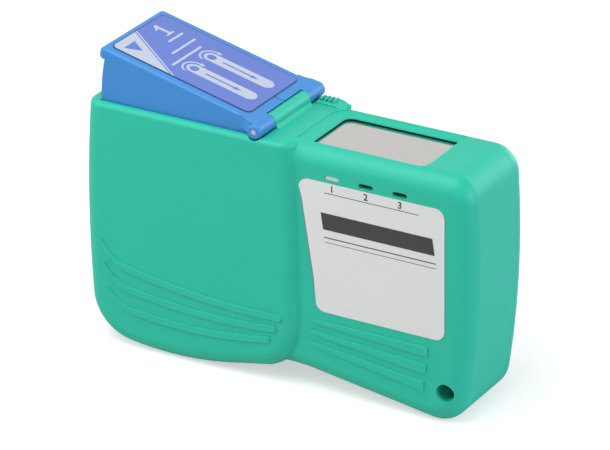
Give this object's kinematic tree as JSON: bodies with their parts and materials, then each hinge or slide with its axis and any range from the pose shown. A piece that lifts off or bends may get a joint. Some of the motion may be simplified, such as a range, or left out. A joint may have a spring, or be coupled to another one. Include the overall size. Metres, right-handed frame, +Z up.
{
  "type": "fibre optic cleaning cassette",
  "caption": "Pocket cassette for wiping optical connector ends: a lever opens the window's sliding shutter and winds fresh cloth tape past the slotted plate.",
  "frame": {"origin": "middle of the bounding box in X and Y, at the two low points that the cassette stands on", "axes": "+X along the length from the lever's free end to the strap hole, +Y from the labelled front to the rear cover, +Z up"},
  "size_m": [0.1282, 0.0391, 0.0939],
  "materials": {
    "case_green": "satin moulded",
    "lever_blue": "satin moulded",
    "lever_label": "printed film",
    "front_label": "printed film",
    "shutter_grey": "smooth moulded",
    "inner_white": "moulded",
    "steel": "drawn",
    "pad_rubber": "matt",
    "tape_cloth": "fine woven"
  },
  "bodies": {
    "base": {"front_case": "case_green", "hinge_pin": "steel", "front_label": "front_label", "slot_plate": "inner_white", "wiping_bed": "inner_white", "wiping_pad": "pad_rubber", "type_tab": "inner_white", "guide_pin_left": "steel", "guide_pin_right": "steel", "gear_clip": "steel", "tape_span": "tape_cloth", "return_spring": "steel"},
    "rear_cover": {"rear_cover": "case_green"},
    "lever": {"push_lever": "lever_blue", "lever_label": "lever_label"},
    "shutter": {"shutter": "shutter_grey"},
    "drive_gear": {"drive_gear": "inner_white"},
    "winding_gear": {"winding_gear": "inner_white"},
    "take_up_reel": {"take_up_reel": "inner_white", "take_up_roll": "tape_cloth"},
    "supply_reel": {"supply_reel": "inner_white", "supply_roll": "tape_cloth"},
    "guide_roller_left": {"guide_roller_left": "inner_white"},
    "guide_roller_right": {"guide_roller_right": "inner_white"}
  },
  "joints": [
    {"name": "lever_hinge", "type": "hinge", "parent": "base", "child": "lever", "pos_m": [-0.006, 0, 0.0792], "axis": [0, -1, 0], "range_deg": [0, 13.5], "stiffness_Nm_per_rad": 0.6, "springref_deg": -11.46, "deforming": ["return_spring"]},
    {"name": "shutter_slide", "type": "slide", "parent": "base", "child": "shutter", "axis": [-1, 0, 0], "range_m": [0, 0.03897]},
    {"name": "drive_gear_spin", "type": "hinge", "parent": "base", "child": "drive_gear", "pos_m": [-0.01109, 0, 0.05248], "axis": [0, -1, 0], "range_deg": [0, 105.31]},
    {"name": "winding_gear_spin", "type": "hinge", "parent": "base", "child": "winding_gear", "pos_m": [-0.03, 0, 0.03127], "axis": [0, 1, 0], "range_deg": [0, 46.81]},
    {"name": "take_up_spin", "type": "hinge", "parent": "base", "child": "take_up_reel", "pos_m": [-0.03, 0, 0.03127], "axis": [0, 1, 0], "range_deg": [0, 46.81]},
    {"name": "supply_spin", "type": "hinge", "parent": "base", "child": "supply_reel", "pos_m": [0.032, 0, 0.031], "axis": [0, -1, 0], "range_deg": [0, 34.49]},
    {"name": "guide_left_spin", "type": "hinge", "parent": "base", "child": "guide_roller_left", "pos_m": [0.0065, 0, 0.06865], "axis": [0, -1, 0], "range_deg": [0, 218.41]},
    {"name": "guide_right_spin", "type": "hinge", "parent": "base", "child": "guide_roller_right", "pos_m": [0.05266, 0, 0.06865], "axis": [0, -1, 0], "range_deg": [0, 218.41]},
    {"name": "cover_slide", "type": "slide", "parent": "base", "child": "rear_cover", "axis": [0, 1, 0], "range_m": [0, 0.03]}
  ],
  "couplings": [
    {"joint": "shutter_slide", "follows": "lever_hinge", "m_per_rad": 0.16536},
    {"joint": "drive_gear_spin", "follows": "lever_hinge", "ratio": 7.8},
    {"joint": "winding_gear_spin", "follows": "lever_hinge", "ratio": 3.4667},
    {"joint": "take_up_spin", "follows": "lever_hinge", "ratio": 3.4667},
    {"joint": "supply_spin", "follows": "lever_hinge", "ratio": 2.5544},
    {"joint": "guide_left_spin", "follows": "lever_hinge", "ratio": 16.178},
    {"joint": "guide_right_spin", "follows": "lever_hinge", "ratio": 16.178}
  ]
}
